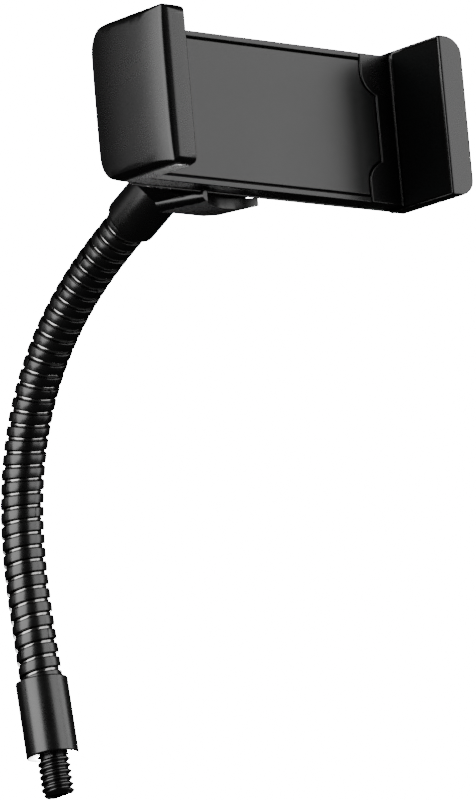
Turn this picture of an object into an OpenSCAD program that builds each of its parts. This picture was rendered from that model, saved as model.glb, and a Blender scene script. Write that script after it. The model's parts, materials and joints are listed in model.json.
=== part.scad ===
// A spring-loaded phone clamp on a ball joint, carried by a flexible arm that ends in a camera-thread stud.
// The origin is the middle of the lower sleeve's bottom face. The stud points down and the arm bends towards +X.

/* [Threaded stud] */
// Outer diameter of the stud's thread
stud_d = 6.35; // [5:0.05:7.5]
// Length of the stud below the sleeve
stud_len = 8; // [6:0.5:14]
// Chamfer at the tip of the stud
stud_chamfer = 0.6; // [0.3:0.1:1]
// Diameter of the plain shank that is pressed into the sleeve
shank_d = 6; // [4:0.1:6.2]
// Length of that shank
shank_len = 6.8; // [4:0.2:9]

/* [Sleeve and collar] */
// Outer diameter of the lower sleeve
sleeve_d = 10.3; // [9.8:0.1:14]
// Length of the lower sleeve
sleeve_len = 15.26; // [14.2:0.02:24]
// Outer diameter of the upper collar
collar_d = 10.4; // [9.8:0.1:14]
// Length of the upper collar
collar_len = 13; // [12.4:0.1:18]
// Depth of the bore that takes the arm, in both the sleeve and the collar
arm_seat = 4.5; // [3:0.1:4.8]
// Chamfer on the outer rims of the sleeve and on the collar's lower rim
rim_chamfer = 0.4; // [0.1:0.1:0.8]
// Chamfer on the collar's upper end, which clears the clamp when it tilts
nose_chamfer = 1.5; // [1:0.1:2]

/* [Flexible arm] */
// Length of the bare arm between the sleeve and the collar
arm_len = 100.2; // [70:0.1:140]
// Diameter over the crests of the outer winding
winding_d = 8.5; // [8:0.1:9]
// Turns of the winding along the bare arm
arm_turns = 36; // [30:1:37]
// Width of the winding's flat band
band_w = 1.9; // [1.4:0.05:2]
// Width of the band's crest, between its two bevelled edges
crest_w = 1.5; // [1:0.05:1.8]
// Height of those bevelled edges
edge_h = 0.35; // [0.2:0.05:0.5]
// Height of the whole band, from its inner ridge to its crest
band_h = 1.3; // [1:0.05:1.5]
// Gap between the ends of two links of the winding, along the wire
link_gap = 0.3; // [0.2:0.05:0.5]
// Radius of the round wire in the inner coil
core_wire_r = 0.7; // [0.4:0.05:0.75]
// Radius at which the inner coil's wire runs
core_r = 3.05; // [2.6:0.05:3.1]
// Bend of the arm's upper end away from upright, in degrees
arm_bend = 69.34; // [0:0.02:90]
// Share of the arm that stands straight above the sleeve
bend_start = 0.116; // [0:0.002:0.4]
// Share of the bend that grows evenly along the arm
bend_even = 0.256; // [0:0.002:1]

/* [Ball joint] */
// Diameter of the ball
ball_d = 9; // [8.4:0.1:9.4]
// Distance from the collar's upper end to the middle of the ball
ball_reach = 6.6; // [6.4:0.1:9]
// Diameter of the neck under the ball
neck_d = 3.5; // [2.5:0.1:3.6]
// Diameter of the ball stud's foot, which turns in the collar
foot_d = 5; // [4:0.1:6]
// Length of that foot
foot_len = 6; // [4:0.1:6.4]
// Distance of the ball from the fixed jaw's outer face
ball_x = 26; // [22:0.5:36]
// Distance of the ball below the clamp's mid-line
ball_drop = 6.4; // [5:0.1:7]
// Depth of the ball's middle behind the clamp's rear edge line
ball_back = 8.2; // [8:0.1:10]
// Forward nod of the clamp, in degrees
clamp_nod = 6.24; // [0:0.02:12]

/* [Socket block] */
// Width of the block at its widest
block_w = 24.6; // [24:0.2:27]
// Width of the block's foot
block_foot_w = 15.4; // [14:0.2:18]
// Height of the block above the ball's middle
block_top = 11; // [9:0.2:14]
// Depth from the ball's middle to the block's rear face
block_back = 0.7; // [0.4:0.1:1]
// Thickness of the retainer ring behind the block
ring_t = 1.7; // [1.2:0.1:2]
// Outer diameter of the retainer ring
ring_d = 15.4; // [15:0.2:17]
// Thickness of the keel that runs forward under the body
keel_t = 2; // [1.6:0.1:3]
// Sideways shift of the keel from its rear end to its nose
keel_shift = 2.7; // [0:0.1:4]
// Reach of the keel's nose in front of the body's rear edge line
keel_nose = 1.8; // [0.6:0.1:3]
// Width of the shallow bevel under the keel's right side
keel_bevel_w = 3.8; // [0.4:0.1:5]
// Height of that bevel
keel_bevel_h = 0.5; // [0.1:0.1:1]
// Radius of the bead along the keel's left side, at its rear end
bead_r = 2; // [1.2:0.1:2.2]
// Radius of that bead at the nose
bead_tip_r = 1.1; // [0.6:0.1:1.2]
// Depth of the scoop in the keel's front
scoop = 9.7; // [0:0.1:10.5]

/* [Clamp body] */
// Length of the body behind the fixed jaw's outer face
body_len = 62.4; // [58:0.2:80]
// Height of the body over its two rails
body_h = 29.92; // [26:0.02:34]
// Height of the rear chamfer at each edge of the body
rear_step = 2.16; // [1.4:0.02:2.6]
// Depth of the rear chamfer behind the body's edge line
rear_depth = 2.95; // [2.6:0.05:3.4]
// Height of the thin rim along the body's edge line
rim_h = 0.3; // [0.1:0.05:0.5]
// Depth of that rim
rim_t = 0.5; // [0.3:0.1:1]
// Depth of the rails in front of the edge line
front_depth = 4.04; // [3.9:0.02:4.6]
// Thickness of the rear wall
floor_t = 1.2; // [1:0.1:1.4]
// Thickness of the wall at each side of the cavity for the slider's tongue and the springs
side_wall = 2.96; // [2.7:0.02:3.1]
// Thickness of the wall between the cavity and the fixed jaw
end_wall = 1.9; // [1.2:0.1:2.4]

/* [Front panel] */
// Thickness of the front panel
panel_t = 1.25; // [1:0.05:1.35]
// Height of the rail beside each long edge of the panel
rail_h = 1.46; // [1.3:0.02:2.2]
// Depth of the panel's face behind the rails
panel_sink = 0.14; // [0.04:0.02:0.3]
// Length of the tab on the panel's free end
tab_len = 3.5; // [2:0.1:5]
// Height of that tab at its root
tab_root_h = 21.4; // [18:0.2:24]
// Height of that tab at its end
tab_end_h = 13; // [10:0.2:16]

/* [Jaws] */
// Thickness of the fixed jaw
fixed_jaw_t = 5.6; // [4.4:0.1:7]
// Crown of the fixed jaw's outer face
jaw_crown = 0.65; // [0.2:0.05:1]
// Reach of the jaws in front of the body's edge line
jaw_reach = 18.2; // [14:0.1:24]
// Overhang of the fixed jaw's top and bottom past the body's
fixed_jaw_over = 0.36; // [0:0.02:1]
// Overhang of the sliding jaw's top and bottom past the body's
sliding_jaw_over = 0.94; // [0:0.02:1.6]
// Thickness of the sliding jaw
sliding_jaw_t = 6.3; // [5:0.1:8]
// Corner radius of the jaws at their rear
rear_corner = 5.2; // [2:0.1:6.5]
// Corner radius at the front of the jaws, seen from their outer faces
front_corner = 2.2; // [0.6:0.1:3]
// Radius of the fixed jaw's edges round its outer face
face_corner = 2.2; // [1:0.1:3]
// Radius of the edges round the jaws' inner faces
inner_corner = 0.5; // [0.2:0.1:1]
// Corner radius of the sliding jaw's outer edges
outer_corner = 4.6; // [1.5:0.1:6]
// Thickness of the soft pads let into both jaws
pad_t = 0.8; // [0.5:0.1:1.2]
// Border of the jaw left round each pad
pad_border = 0.6; // [0.4:0.1:1.5]

/* [Slider] */
// Length of the slider's block between the body and the sliding jaw
slider_len = 8; // [7:0.1:12]
// Distance that the slider travels
travel = 26; // [16:0.5:30]
// Thickness of the tongue's plate
tongue_t = 1.7; // [1.2:0.1:1.9]
// Width of the two ribs along the tongue's edges
rib_w = 1.2; // [0.8:0.1:1.6]
// Width of the slot along the tongue
slot_w = 4.4; // [4.2:0.1:4.8]
// Length of that head
head_len = 4; // [3:0.1:5]
// Width of the two stop ribs in the body
stop_w = 1.8; // [1.2:0.1:2]

/* [Springs] */
// Radius of the springs' coils, at the middle of the wire
coil_r = 1.45; // [1.3:0.05:1.5]
// Radius of the springs' wire
coil_wire_r = 0.22; // [0.15:0.01:0.25]
// Turns of each spring
coil_turns = 17; // [10:1:19]
// Gap between each spring and the wall of the cavity
coil_wall_gap = 0.23; // [0.1:0.01:0.35]
// Gap between each spring and the tongue's head
coil_head_gap = 0.83; // [0.5:0.01:1]
// Radius of the posts that hold the springs
post_r = 1.05; // [0.9:0.05:1.1]

/* [Screws] */
// Radius of the panel screws and the ring screws
fine_screw_r = 0.8; // [0.6:0.05:0.9]
// Radius of the heads of those screws
fine_head_r = 1.4; // [1.2:0.05:1.45]
// Height of those heads
fine_head_h = 0.8; // [0.6:0.05:0.9]
// Radius of the block screws
block_screw_r = 1.1; // [0.9:0.05:1.3]
// Radius of the block screws' countersunk heads
block_head_r = 2; // [1.8:0.05:2.2]
// Radius of the screw posts
boss_r = 1.8; // [1.7:0.05:1.9]

/* [Fits] */
// Clearance of a part that is pressed or glued in place, a side
seat_fit = 0.02; // [0.01:0.01:0.04]
// Clearance of a part that turns or slides, a side
run_fit = 0.1; // [0.08:0.01:0.15]
// Clearance round the slider's tongue, a side
slide_fit = 0.2; // [0.15:0.01:0.25]

/* [Hidden] */
LINKS = 24;
function link_name(k) = str("winding_", k < 9 ? "0" : "", k + 1);

$fn = 48;
eps = 0.01;
round_steps = 6;

// Route of the arm
line_steps = 240;
step_len = arm_len / line_steps;
pitch = arm_len / arm_turns;
link_len = arm_len / LINKS;
anchor_len = arm_seat - band_w / 2 - run_fit;
core_anchor_len = arm_seat - core_wire_r - run_fit;
band_r = winding_d / 2;
arm_bore_r = band_r + run_fit;
ring_steps = 18;
core_steps = 10;
core_sides = 4;

// Heights across the clamp, which follow the body's
rear_h = body_h - 2 * rear_step;
cavity_w = body_h - 2 * side_wall;
panel_h = body_h - 2 * rail_h;
fixed_jaw_h = body_h + 2 * fixed_jaw_over;
sliding_jaw_h = body_h + 2 * sliding_jaw_over;
coil_y = cavity_w / 2 - coil_wall_gap - coil_r - coil_wire_r;
coil_side = coil_y - coil_r - coil_wire_r;
head_w = 2 * (coil_side - coil_head_gap);
tongue_w = 2 * (head_w / 2 - slide_fit - stop_w - run_fit);

// Heights of the body's inner faces, measured from its rear edge line
rear_z = -rear_depth;
floor_z = rear_z + floor_t;
panel_face_z = front_depth - panel_sink;
panel_back_z = panel_face_z - panel_t;
split_z = floor_z + 2.15;
tongue_z = floor_z + slide_fit;
rib_top_z = panel_back_z - slide_fit;
coil_z = (floor_z + panel_back_z) / 2;

// Places along the clamp, measured from the fixed jaw's outer face
cavity_x = fixed_jaw_t + end_wall;
post_x = cavity_x + post_r + 1.35;
block_x = body_len + run_fit;
slider_jaw_x = block_x + slider_len;
head_x = post_x + boss_r + 2.6;
stop_x = head_x + head_len + travel + run_fit;
far_post_x = block_x - coil_r - coil_wire_r - 0.2;
tab_x = body_len - run_fit;
far_boss_x = body_len - 8.4;
boss_y = tongue_w / 2 - 0.5;

// Ball joint
socket_r = ball_d / 2 + run_fit;
rear_face_z = -ball_back - block_back;
ring_face_z = rear_face_z - ring_t;
mouth_r = sqrt(pow(socket_r, 2) - pow(block_back + ring_t, 2));
keel_y = -body_h / 2 - rim_h - 1.5 * run_fit;
foot_y = keel_y - keel_t;
ring_screw_r = (mouth_r + ring_d / 2) / 2 + 0.1;
block_screw_x = block_w / 2 - 2.7;
block_screw_len = 5.2;

plastic = "#1f2022";
soft_black = "#2a2b2d";
black_metal = "#18191b";
steel = "#8d9094";

// Direction of the arm, in degrees from upright, at the distance s above the sleeve
function bend_at(s) =
    let (q = min(max((s / arm_len - bend_start) / (1 - bend_start), 0), 1))
    arm_bend * ((1 - bend_even) * q * q * (3 - 2 * q) + bend_even * q);

// The arm's centre line as X and Z pairs, one for each step
line = [for (i = 0, x = 0, z = sleeve_len; i <= line_steps;
    x = x + step_len * sin(bend_at((i + 0.5) * step_len)),
    z = z + step_len * cos(bend_at((i + 0.5) * step_len)),
    i = i + 1) [x, z]];
arm_end = line[line_steps];

// Point of the centre line at the distance s, also beyond both ends
function centre(s) =
    s >= arm_len ? [arm_end.x + (s - arm_len) * sin(arm_bend), 0, arm_end.y + (s - arm_len) * cos(arm_bend)]
    : let (i = max(floor(s / step_len), 0), b = bend_at((i + 0.5) * step_len), t = s - i * step_len)
      [line[i].x + t * sin(b), 0, line[i].y + t * cos(b)];

// Point beside the centre line: a along the arm and r out from it, at the angle phi round it
function beside(s, a, r, phi) =
    let (b = bend_at(s))
    centre(s) + a * [sin(b), 0, cos(b)] + r * [cos(phi) * cos(b), sin(phi), -cos(phi) * sin(b)];

// Section of the flat band, as distance along the arm and distance out from it
band = [[0, band_r - band_h], [band_w / 2, band_r - edge_h], [crest_w / 2, band_r],
        [-crest_w / 2, band_r], [-band_w / 2, band_r - edge_h]];

// Section of the round wire in the inner coil
core = [for (i = [0 : core_sides - 1]) let (a = 360 * (i + 0.5) / core_sides)
    [core_wire_r * cos(a), core_r + core_wire_r * sin(a)]];

// Triangles that join rings of n points each into a closed tube with flat ends
function tube_faces(rings, n) = concat(
    [for (i = [0 : rings - 2], j = [0 : n - 1]) let (k = (j + 1) % n)
        each [[i * n + j, (i + 1) * n + j, i * n + k], [i * n + k, (i + 1) * n + j, (i + 1) * n + k]]],
    [for (j = [1 : n - 2]) [0, j, j + 1]],
    [for (j = [1 : n - 2]) let (last = (rings - 1) * n) [last, last + j + 1, last + j]]);

// A wire of the given section, wound round the arm from s0 to s1; shift moves it along the arm
module winding(section, s0, s1, steps_per_turn, shift = 0) {
    steps = max(round((s1 - s0) / pitch * steps_per_turn), 4);
    points = [for (i = [0 : steps]) let (s = s0 + (s1 - s0) * i / steps)
        each [for (p = section) beside(s, p.x, p.y, 360 * (s - shift) / pitch)]];
    polyhedron(points, tube_faces(steps + 1, len(section)), convexity = 8);
}

// Length unit vector and a wire swept along any path, with its section carried along without twist
function unit(v) = v / norm(v);
function heading(path, i) = unit(path[min(i + 1, len(path) - 1)] - path[max(i - 1, 0)]);
function carried(path, i, n) = let (t = heading(path, i)) unit(n - (n * t) * t);

module wire(path, r, sides, side) {
    normals = [for (i = 0, n = carried(path, 0, side); i < len(path);
        i = i + 1, n = i < len(path) ? carried(path, i, n) : n) n];
    points = [for (i = [0 : len(path) - 1]) let (t = heading(path, i), n = normals[i], m = cross(t, n))
        each [for (j = [0 : sides - 1]) path[i] + r * (cos(360 * j / sides) * n + sin(360 * j / sides) * m)]];
    polyhedron(points, tube_faces(len(path), sides), convexity = 8);
}

// Quarter round of a corner, and a rectangle whose four corners have their own radii
function quarter(cx, cy, r, from) = [for (i = [0 : round_steps]) let (a = from + 90 * i / round_steps)
    [cx + r * cos(a), cy + r * sin(a)]];
function soft_rect(x0, x1, y0, y1, r00, r10, r11, r01) = concat(
    quarter(x0 + r00, y0 + r00, r00, 180), quarter(x1 - r10, y0 + r10, r10, 270),
    quarter(x1 - r11, y1 - r11, r11, 0), quarter(x0 + r01, y1 - r01, r01, 90));

// The clamp's own frame: X runs from the fixed jaw to the sliding jaw, Y up and Z to the front
module in_clamp() {
    ball = centre(arm_len + collar_len + ball_reach);
    translate(ball) rotate([0, clamp_nod, 0]) rotate([90, 0, 90])
        translate([-ball_x, ball_drop, ball_back]) children();
}

// A frame at the arm's upper end, with Z along the arm
module at_arm_end() translate([arm_end.x, 0, arm_end.y]) rotate([0, arm_bend, 0]) children();

// Extrusion of a Y and Z outline along the clamp, and of an X and Z outline across it
module along_clamp(x0, x1) translate([x0, 0, 0]) rotate([90, 0, 90]) linear_extrude(x1 - x0) children();
module across_clamp(y0, y1) translate([0, y1, 0]) rotate([90, 0, 0]) linear_extrude(y1 - y0) children();
module upright(z0, z1) translate([0, 0, z0]) linear_extrude(z1 - z0) children();
module mirrored_y() {
    children();
    mirror([0, 1, 0]) children();
}

module stud() {
    color(black_metal) union() {
        translate([0, 0, -stud_len + stud_chamfer]) cylinder(h = stud_len - stud_chamfer, d = stud_d);
        translate([0, 0, -stud_len])
            cylinder(h = stud_chamfer, d1 = stud_d - 2 * stud_chamfer, d2 = stud_d);
        cylinder(h = shank_len, d = shank_d);
    }
}

module lower_sleeve() {
    r = sleeve_d / 2;
    hole = shank_d / 2 + seat_fit;
    seat_z = sleeve_len - arm_seat;
    color(black_metal) rotate_extrude() polygon([
        [hole, 0], [r - rim_chamfer, 0], [r, rim_chamfer], [r, sleeve_len - rim_chamfer],
        [r - rim_chamfer, sleeve_len], [arm_bore_r, sleeve_len], [arm_bore_r, seat_z], [0, seat_z],
        [0, shank_len + 0.2], [hole, shank_len + 0.2]]);
}

module winding_foot() color(black_metal) winding(band, -anchor_len, -link_gap / 2 * pitch / (PI * winding_d), ring_steps);

module winding_head() color(black_metal)
    winding(band, arm_len + link_gap / 2 * pitch / (PI * winding_d), arm_len + anchor_len, ring_steps);

module winding_link(k) {
    cut = link_gap / 2 * pitch / (PI * winding_d);
    color(black_metal) winding(band, k * link_len + cut, (k + 1) * link_len - cut, ring_steps);
}

module inner_coil() color(steel)
    winding(core, -core_anchor_len, arm_len + core_anchor_len, core_steps, pitch / 2);

module upper_collar() {
    r = collar_d / 2;
    hole = foot_d / 2 + run_fit / 2;
    foot_z = collar_len - foot_len - 0.2;
    color(black_metal) at_arm_end() rotate_extrude() polygon([
        [arm_bore_r, 0], [r - rim_chamfer, 0], [r, rim_chamfer], [r, collar_len - nose_chamfer],
        [r - nose_chamfer, collar_len], [hole, collar_len], [hole, foot_z], [0, foot_z],
        [0, arm_seat], [arm_bore_r, arm_seat]]);
}

module ball_stud() {
    color(steel) at_arm_end() translate([0, 0, collar_len]) union() {
        translate([0, 0, -foot_len]) cylinder(h = foot_len, d = foot_d);
        cylinder(h = ball_reach, d = neck_d);
        translate([0, 0, ball_reach]) sphere(d = ball_d);
    }
}

// Outline of the socket block above its keel, seen from behind
module block_outline() {
    half = block_w / 2;
    foot = block_foot_w / 2;
    low = keel_y + ball_drop - 0.3;
    polygon([[-half, low + 3.2], [-foot - 0.7, low + 0.3], [-foot, low], [foot + 1, low], [half, low + 2.8],
        [half, block_top - 2], [half - 2, block_top], [-half + 2, block_top], [-half, block_top - 2]]);
}

// Section of the keel, seen from the front and moved sideways
module keel_section(shift) {
    left = shift - block_foot_w / 2 - 0.2;
    right = shift + block_foot_w / 2 + 0.2;
    polygon([[left + 0.4, keel_y], [left + 0.4, foot_y + bead_tip_r], [left + bead_tip_r, foot_y],
        [right - keel_bevel_w, foot_y], [right, foot_y + keel_bevel_h], [right, keel_y]]);
}

// What the scoop leaves open in front of the keel, seen from below
module scoop_outline() {
    left = keel_shift - block_foot_w / 2 + bead_tip_r - 0.2;
    span = block_foot_w - keel_bevel_w;
    polygon(concat([for (i = [0 : round_steps]) let (u = i / round_steps)
            [left + span * u, keel_nose - 2.6 * u - scoop * u * (1 - u)]],
        [[left + span + 1.7, keel_nose - 1.6], [block_w, keel_nose - 1.6], [block_w, keel_nose + 2],
         [left, keel_nose + 2]]));
}

// The keel that runs forward under the body, with a bead along its left side
module keel() {
    bead_x = -block_foot_w / 2 - 0.2;
    difference() {
        union() {
            hull() {
                upright(rear_face_z, rear_face_z + eps) keel_section(0);
                upright(keel_nose - eps, keel_nose) keel_section(keel_shift);
            }
            hull() {
                translate([bead_x + bead_r, foot_y + bead_r, rear_face_z]) cylinder(h = eps, r = bead_r, $fn = 32);
                translate([bead_x + keel_shift + bead_tip_r, foot_y + bead_tip_r, keel_nose - eps])
                    cylinder(h = eps, r = bead_tip_r, $fn = 32);
            }
        }
        across_clamp(foot_y - 1, keel_y + 1) scoop_outline();
        upright(rear_z, keel_nose + 1) polygon([[-block_w, keel_y], [block_w, keel_y],
            [block_w, foot_y + 2 * bead_r + 1], [-block_w, foot_y + 2 * bead_r + 1]]);
    }
}

module socket_block() {
    color(plastic) in_clamp() difference() {
        union() {
            translate([ball_x, -ball_drop, 0]) upright(rear_face_z, rear_z) block_outline();
            translate([ball_x, 0, 0]) keel();
        }
        translate([ball_x, -ball_drop, -ball_back]) sphere(r = socket_r);
        translate([ball_x, -ball_drop, rear_face_z - 1]) cylinder(h = block_back + 1, r = socket_r);
        for (side = [-1, 1])
            translate([ball_x + side * block_screw_x, -ball_drop, floor_z - block_screw_len - 0.2])
                cylinder(h = block_screw_len + 1, r = block_screw_r + seat_fit);
        for (a = [90, 210, 330])
            translate([ball_x + ring_screw_r * cos(a), -ball_drop + ring_screw_r * sin(a), rear_face_z - 1])
                cylinder(h = 3.4, r = fine_screw_r + seat_fit);
    }
}

module block_screws() {
    color(steel) in_clamp() for (side = [-1, 1])
        translate([ball_x + side * block_screw_x, -ball_drop, floor_z - block_screw_len]) {
            cylinder(h = block_screw_len - 1, r = block_screw_r);
            translate([0, 0, block_screw_len - 1]) cylinder(h = 0.9, r1 = block_screw_r, r2 = block_head_r);
        }
}

module retainer_ring() {
    color(black_metal) in_clamp() difference() {
        translate([ball_x, -ball_drop, ring_face_z]) cylinder(h = ring_t, d = ring_d);
        translate([ball_x, -ball_drop, -ball_back]) sphere(r = socket_r);
        translate([ball_x, -ball_drop, ring_face_z - 1]) cylinder(h = ring_t, r = mouth_r);
        for (a = [90, 210, 330])
            translate([ball_x + ring_screw_r * cos(a), -ball_drop + ring_screw_r * sin(a), ring_face_z]) {
                translate([0, 0, -1]) cylinder(h = ring_t + 2, r = fine_screw_r + seat_fit);
                translate([0, 0, -1]) cylinder(h = fine_head_h + 1, r = fine_head_r + run_fit);
            }
    }
}

module ring_screws() {
    color(steel) in_clamp() for (a = [90, 210, 330])
        translate([ball_x + ring_screw_r * cos(a), -ball_drop + ring_screw_r * sin(a), ring_face_z]) {
            cylinder(h = fine_head_h, r = fine_head_r);
            cylinder(h = ring_t + 2.2, r = fine_screw_r);
        }
}

// Section of the body and of the slider's block
module body_outline() {
    edge = body_h / 2;
    polygon([[-edge, 0], [-edge - rim_h, 0], [-edge - rim_h, -rim_t], [-rear_h / 2, rear_z],
        [rear_h / 2, rear_z], [edge + rim_h, -rim_t], [edge + rim_h, 0], [edge, 0],
        [edge, front_depth], [-edge, front_depth]]);
}

// The fixed jaw: the common part of its three outlines, with a crowned outer face
module fixed_jaw() {
    half = fixed_jaw_h / 2;
    run = (jaw_reach - face_corner - rear_z) / 2;
    crown = [for (i = [1 : 8]) let (u = i / 4 - 1)
        [-jaw_crown * (1 - u * u), rear_z + run * (1 - u)]];
    intersection() {
        along_clamp(-jaw_crown, fixed_jaw_t) polygon(soft_rect(-half, half, rear_z, jaw_reach,
            rear_corner, rear_corner, front_corner, front_corner));
        across_clamp(-half, half) polygon(concat(crown, [[fixed_jaw_t, rear_z]],
            quarter(fixed_jaw_t - inner_corner, jaw_reach - inner_corner, inner_corner, 0),
            quarter(face_corner, jaw_reach - face_corner, face_corner, 90)));
        upright(rear_z, jaw_reach) polygon(soft_rect(-jaw_crown, fixed_jaw_t, -half, half,
            face_corner, inner_corner, inner_corner, face_corner));
    }
}

// Screw posts of the body and the panel: two by the fixed jaw and one in the tongue's slot
module at_bosses() {
    for (p = [[post_x, -boss_y], [post_x, boss_y], [far_boss_x, 0]]) translate([p.x, p.y, 0]) children();
}

module body_shell() {
    color(plastic) in_clamp() difference() {
        union() {
            fixed_jaw();
            difference() {
                along_clamp(fixed_jaw_t - 1, body_len) body_outline();
                translate([cavity_x, -cavity_w / 2, floor_z]) cube([body_len, cavity_w, front_depth * 2]);
                translate([fixed_jaw_t, -panel_h / 2 - 0.3, panel_back_z])
                    cube([body_len, panel_h + 0.6, front_depth]);
            }
            at_bosses() translate([0, 0, floor_z - eps]) cylinder(h = split_z - floor_z + eps, r = boss_r);
            mirrored_y() translate([post_x, coil_y, floor_z - eps])
                cylinder(h = panel_back_z - floor_z + eps, r = post_r);
            mirrored_y() translate([stop_x, tongue_w / 2 + slide_fit, floor_z - eps])
                cube([body_len - stop_x, stop_w, panel_back_z - floor_z + eps]);
        }
        at_bosses() translate([0, 0, rear_z - 1]) {
            cylinder(h = split_z - rear_z + 2, r = fine_screw_r + run_fit);
            cylinder(h = fine_head_h + 1.1, r = fine_head_r + run_fit);
        }
        for (side = [-1, 1]) translate([ball_x + side * block_screw_x, -ball_drop, floor_z - 1]) {
            translate([0, 0, -1]) cylinder(h = 3, r = block_screw_r + run_fit);
            cylinder(h = 1 + eps, r1 = block_screw_r + run_fit, r2 = block_head_r + run_fit);
        }
        translate([fixed_jaw_t - pad_t, 0, 0]) along_clamp(0, pad_t + 1) pad_outline(fixed_jaw_h, 0);
    }
}

// Tab and notch edge between the panel and the slider, moved along the clamp by the given distance
function tab_edge(shift) =
    [for (i = [0 : round_steps]) let (a = 60 * i / round_steps)
        [tab_x + shift + tab_len * (1 - cos(a)) / (1 - cos(60)),
         tab_root_h / 2 - (tab_root_h - tab_end_h) / 2 * sin(a) / sin(60)]];
function flipped(points) = [for (i = [len(points) - 1 : -1 : 0]) [points[i].x, -points[i].y]];

module front_panel() {
    half = panel_h / 2;
    color(soft_black) in_clamp() difference() {
        union() {
            upright(panel_back_z, panel_face_z) polygon(concat(
                [[fixed_jaw_t + run_fit, -half], [fixed_jaw_t + run_fit, half], [tab_x, half]],
                tab_edge(0), flipped(tab_edge(0)), [[tab_x, -half]]));
            at_bosses() translate([0, 0, split_z]) cylinder(h = panel_back_z - split_z + eps, r = boss_r);
        }
        at_bosses() translate([0, 0, split_z - 1])
            cylinder(h = panel_back_z - split_z + 1.5, r = fine_screw_r + seat_fit);
    }
}

module panel_screws() {
    color(steel) in_clamp() at_bosses() {
        translate([0, 0, rear_z + 0.1]) cylinder(h = fine_head_h, r = fine_head_r);
        translate([0, 0, rear_z + 0.1]) cylinder(h = panel_back_z - rear_z + 0.2, r = fine_screw_r);
    }
}

// Outline of a soft pad in the Y and Z plane; gap leaves room round it
module pad_outline(jaw_h, gap) {
    half = jaw_h / 2 - pad_border - gap;
    low = front_depth + pad_border + gap;
    high = jaw_reach - pad_border - gap;
    polygon(soft_rect(-half, half, low, high, 0.6, 0.6, 0.6, 0.6));
}

module sliding_jaw() {
    half = sliding_jaw_h / 2;
    far = slider_jaw_x + sliding_jaw_t;
    intersection() {
        along_clamp(slider_jaw_x, far) polygon(soft_rect(-half, half, rear_z, jaw_reach,
            rear_corner, rear_corner, inner_corner, inner_corner));
        upright(rear_z, jaw_reach) polygon(soft_rect(slider_jaw_x, far, -half, half,
            inner_corner, outer_corner, outer_corner, inner_corner));
        across_clamp(-half, half) polygon(soft_rect(slider_jaw_x, far, rear_z, jaw_reach,
            inner_corner, face_corner, front_corner / 2, inner_corner));
    }
}

module tongue() {
    tip_x = head_x + head_len;
    half = tongue_w / 2;
    difference() {
        union() {
            translate([tip_x - 1, -half, tongue_z]) cube([block_x - tip_x + 2, tongue_w, tongue_t]);
            mirrored_y() translate([tip_x - 1, half - rib_w, tongue_z])
                cube([block_x - tip_x + 2, rib_w, rib_top_z - tongue_z]);
            translate([head_x, -head_w / 2, tongue_z]) cube([head_len, head_w, rib_top_z - tongue_z]);
        }
        translate([far_boss_x - boss_r - 0.6 - travel, -slot_w / 2, tongue_z - 1])
            cube([travel + 2 * boss_r + 1.2, slot_w, rib_top_z - tongue_z + 2]);
    }
}

module slider() {
    color(plastic) in_clamp() difference() {
        union() {
            along_clamp(block_x, slider_jaw_x + 1) body_outline();
            sliding_jaw();
            tongue();
            mirrored_y() translate([far_post_x - 1.1, coil_y - 1.1, tongue_z])
                cube([block_x - far_post_x + 2, 2.2, 1.1]);
            mirrored_y() translate([far_post_x, coil_y, tongue_z])
                cylinder(h = rib_top_z - tongue_z, r = post_r);
        }
        upright(panel_back_z - run_fit, front_depth + 1) polygon(concat(
            [[block_x - 1, tab_root_h / 2]], tab_edge(run_fit + 0.1),
            flipped(tab_edge(run_fit + 0.1)), [[block_x - 1, -tab_root_h / 2]]));
        translate([slider_jaw_x - 1, 0, 0]) along_clamp(0, pad_t + 1) pad_outline(sliding_jaw_h, 0);
    }
}

module fixed_jaw_pad() color(soft_black) in_clamp()
    along_clamp(fixed_jaw_t - pad_t, fixed_jaw_t) pad_outline(fixed_jaw_h, seat_fit);

module sliding_jaw_pad() color(soft_black) in_clamp()
    along_clamp(slider_jaw_x, slider_jaw_x + pad_t) pad_outline(sliding_jaw_h, seat_fit);

// An extension spring between two posts, with a loop of its wire round each
module spring(y) {
    loop_steps = 7;
    coil_steps = 8;
    x0 = post_x + coil_r;
    x1 = far_post_x - coil_r;
    count = coil_turns * coil_steps;
    near_loop = [for (i = [0 : loop_steps - 1]) let (a = 40 + 320 * i / loop_steps)
        [post_x + coil_r * cos(a), y + coil_r * sin(a), coil_z]];
    coil = [for (i = [0 : count]) let (n = i / coil_steps, r = coil_r * min(1, 2 * min(n, coil_turns - n)))
        [x0 + (x1 - x0) * i / count, y + r * sin(360 * n), coil_z + r * cos(360 * n)]];
    far_loop = [for (i = [1 : loop_steps]) let (a = 180 + 320 * i / loop_steps)
        [far_post_x + coil_r * cos(a), y + coil_r * sin(a), coil_z]];
    in_clamp() wire(concat(near_loop, coil, far_loop), coil_wire_r, 4, [0, 0, 1]);
}

module upper_spring() color(steel) spring(coil_y);
module lower_spring() color(steel) spring(-coil_y);

stud();
lower_sleeve();
winding_foot();
inner_coil();
for (k = [0 : LINKS - 1]) winding_link(k);
winding_head();
upper_collar();
ball_stud();
socket_block();
block_screws();
retainer_ring();
ring_screws();
body_shell();
front_panel();
panel_screws();
slider();
fixed_jaw_pad();
sliding_jaw_pad();
upper_spring();
lower_spring();
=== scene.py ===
"""A phone clamp on a flexible arm with a threaded stud, dressed for a plain pale studio.

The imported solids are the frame. The clamp's mouldings are softened copies of their solids, and the turned
metal parts are spun from their profiles. The arm is wound from two wires, cut into one stretch for each link,
so that it can bend at every joint. Every length is in metres.
"""

from __future__ import annotations

import json
import logging
import math
from dataclasses import dataclass, field
from enum import Enum
from typing import Iterable, Sequence

import bpy
from mathutils import Matrix, Vector

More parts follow.
